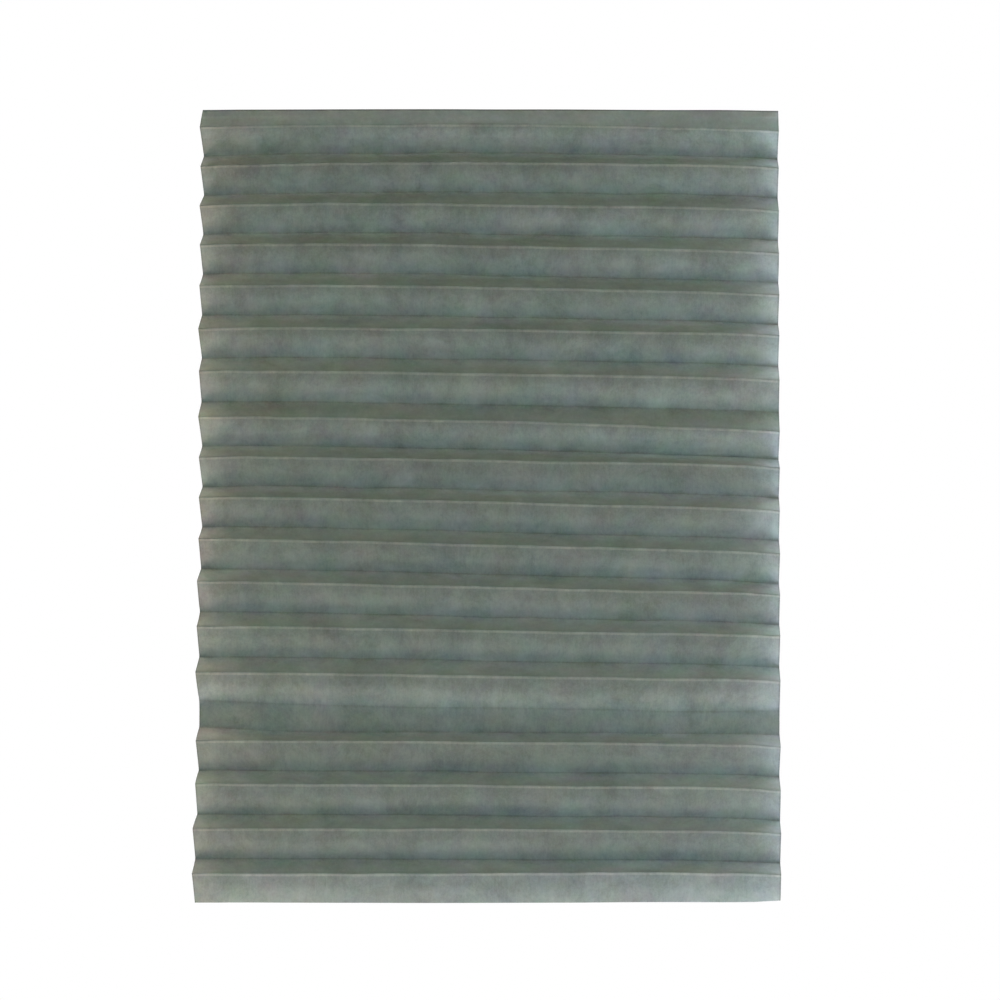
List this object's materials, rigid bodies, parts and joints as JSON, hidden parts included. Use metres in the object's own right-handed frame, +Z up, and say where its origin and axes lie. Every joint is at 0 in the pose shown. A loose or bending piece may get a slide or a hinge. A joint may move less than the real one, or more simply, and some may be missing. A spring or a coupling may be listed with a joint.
{
  "type": "pleated blind",
  "caption": "Stick-on pleated window shade: an accordion-folded sheet of sage grey nonwoven cloth, hung by an adhesive strip behind its top edge.",
  "frame": {"origin": "centre of the adhesive face of the mounting strip, behind the top edge", "axes": "+X along the pleats, to the right seen from the room; -Y towards the room; +Z up"},
  "size_m": [0.9174, 0.0416, 1.3412],
  "materials": {
    "nonwoven_cloth": "matt, fibrous nonwoven, sage grey, lets some light through, lighter along the front creases",
    "adhesive_tape": "pale, see-through double-sided tape with a thread scrim"
  },
  "bodies": {
    "root": {"pleated_sheet": "nonwoven_cloth", "mounting_strip": "adhesive_tape"}
  },
  "joints": []
}
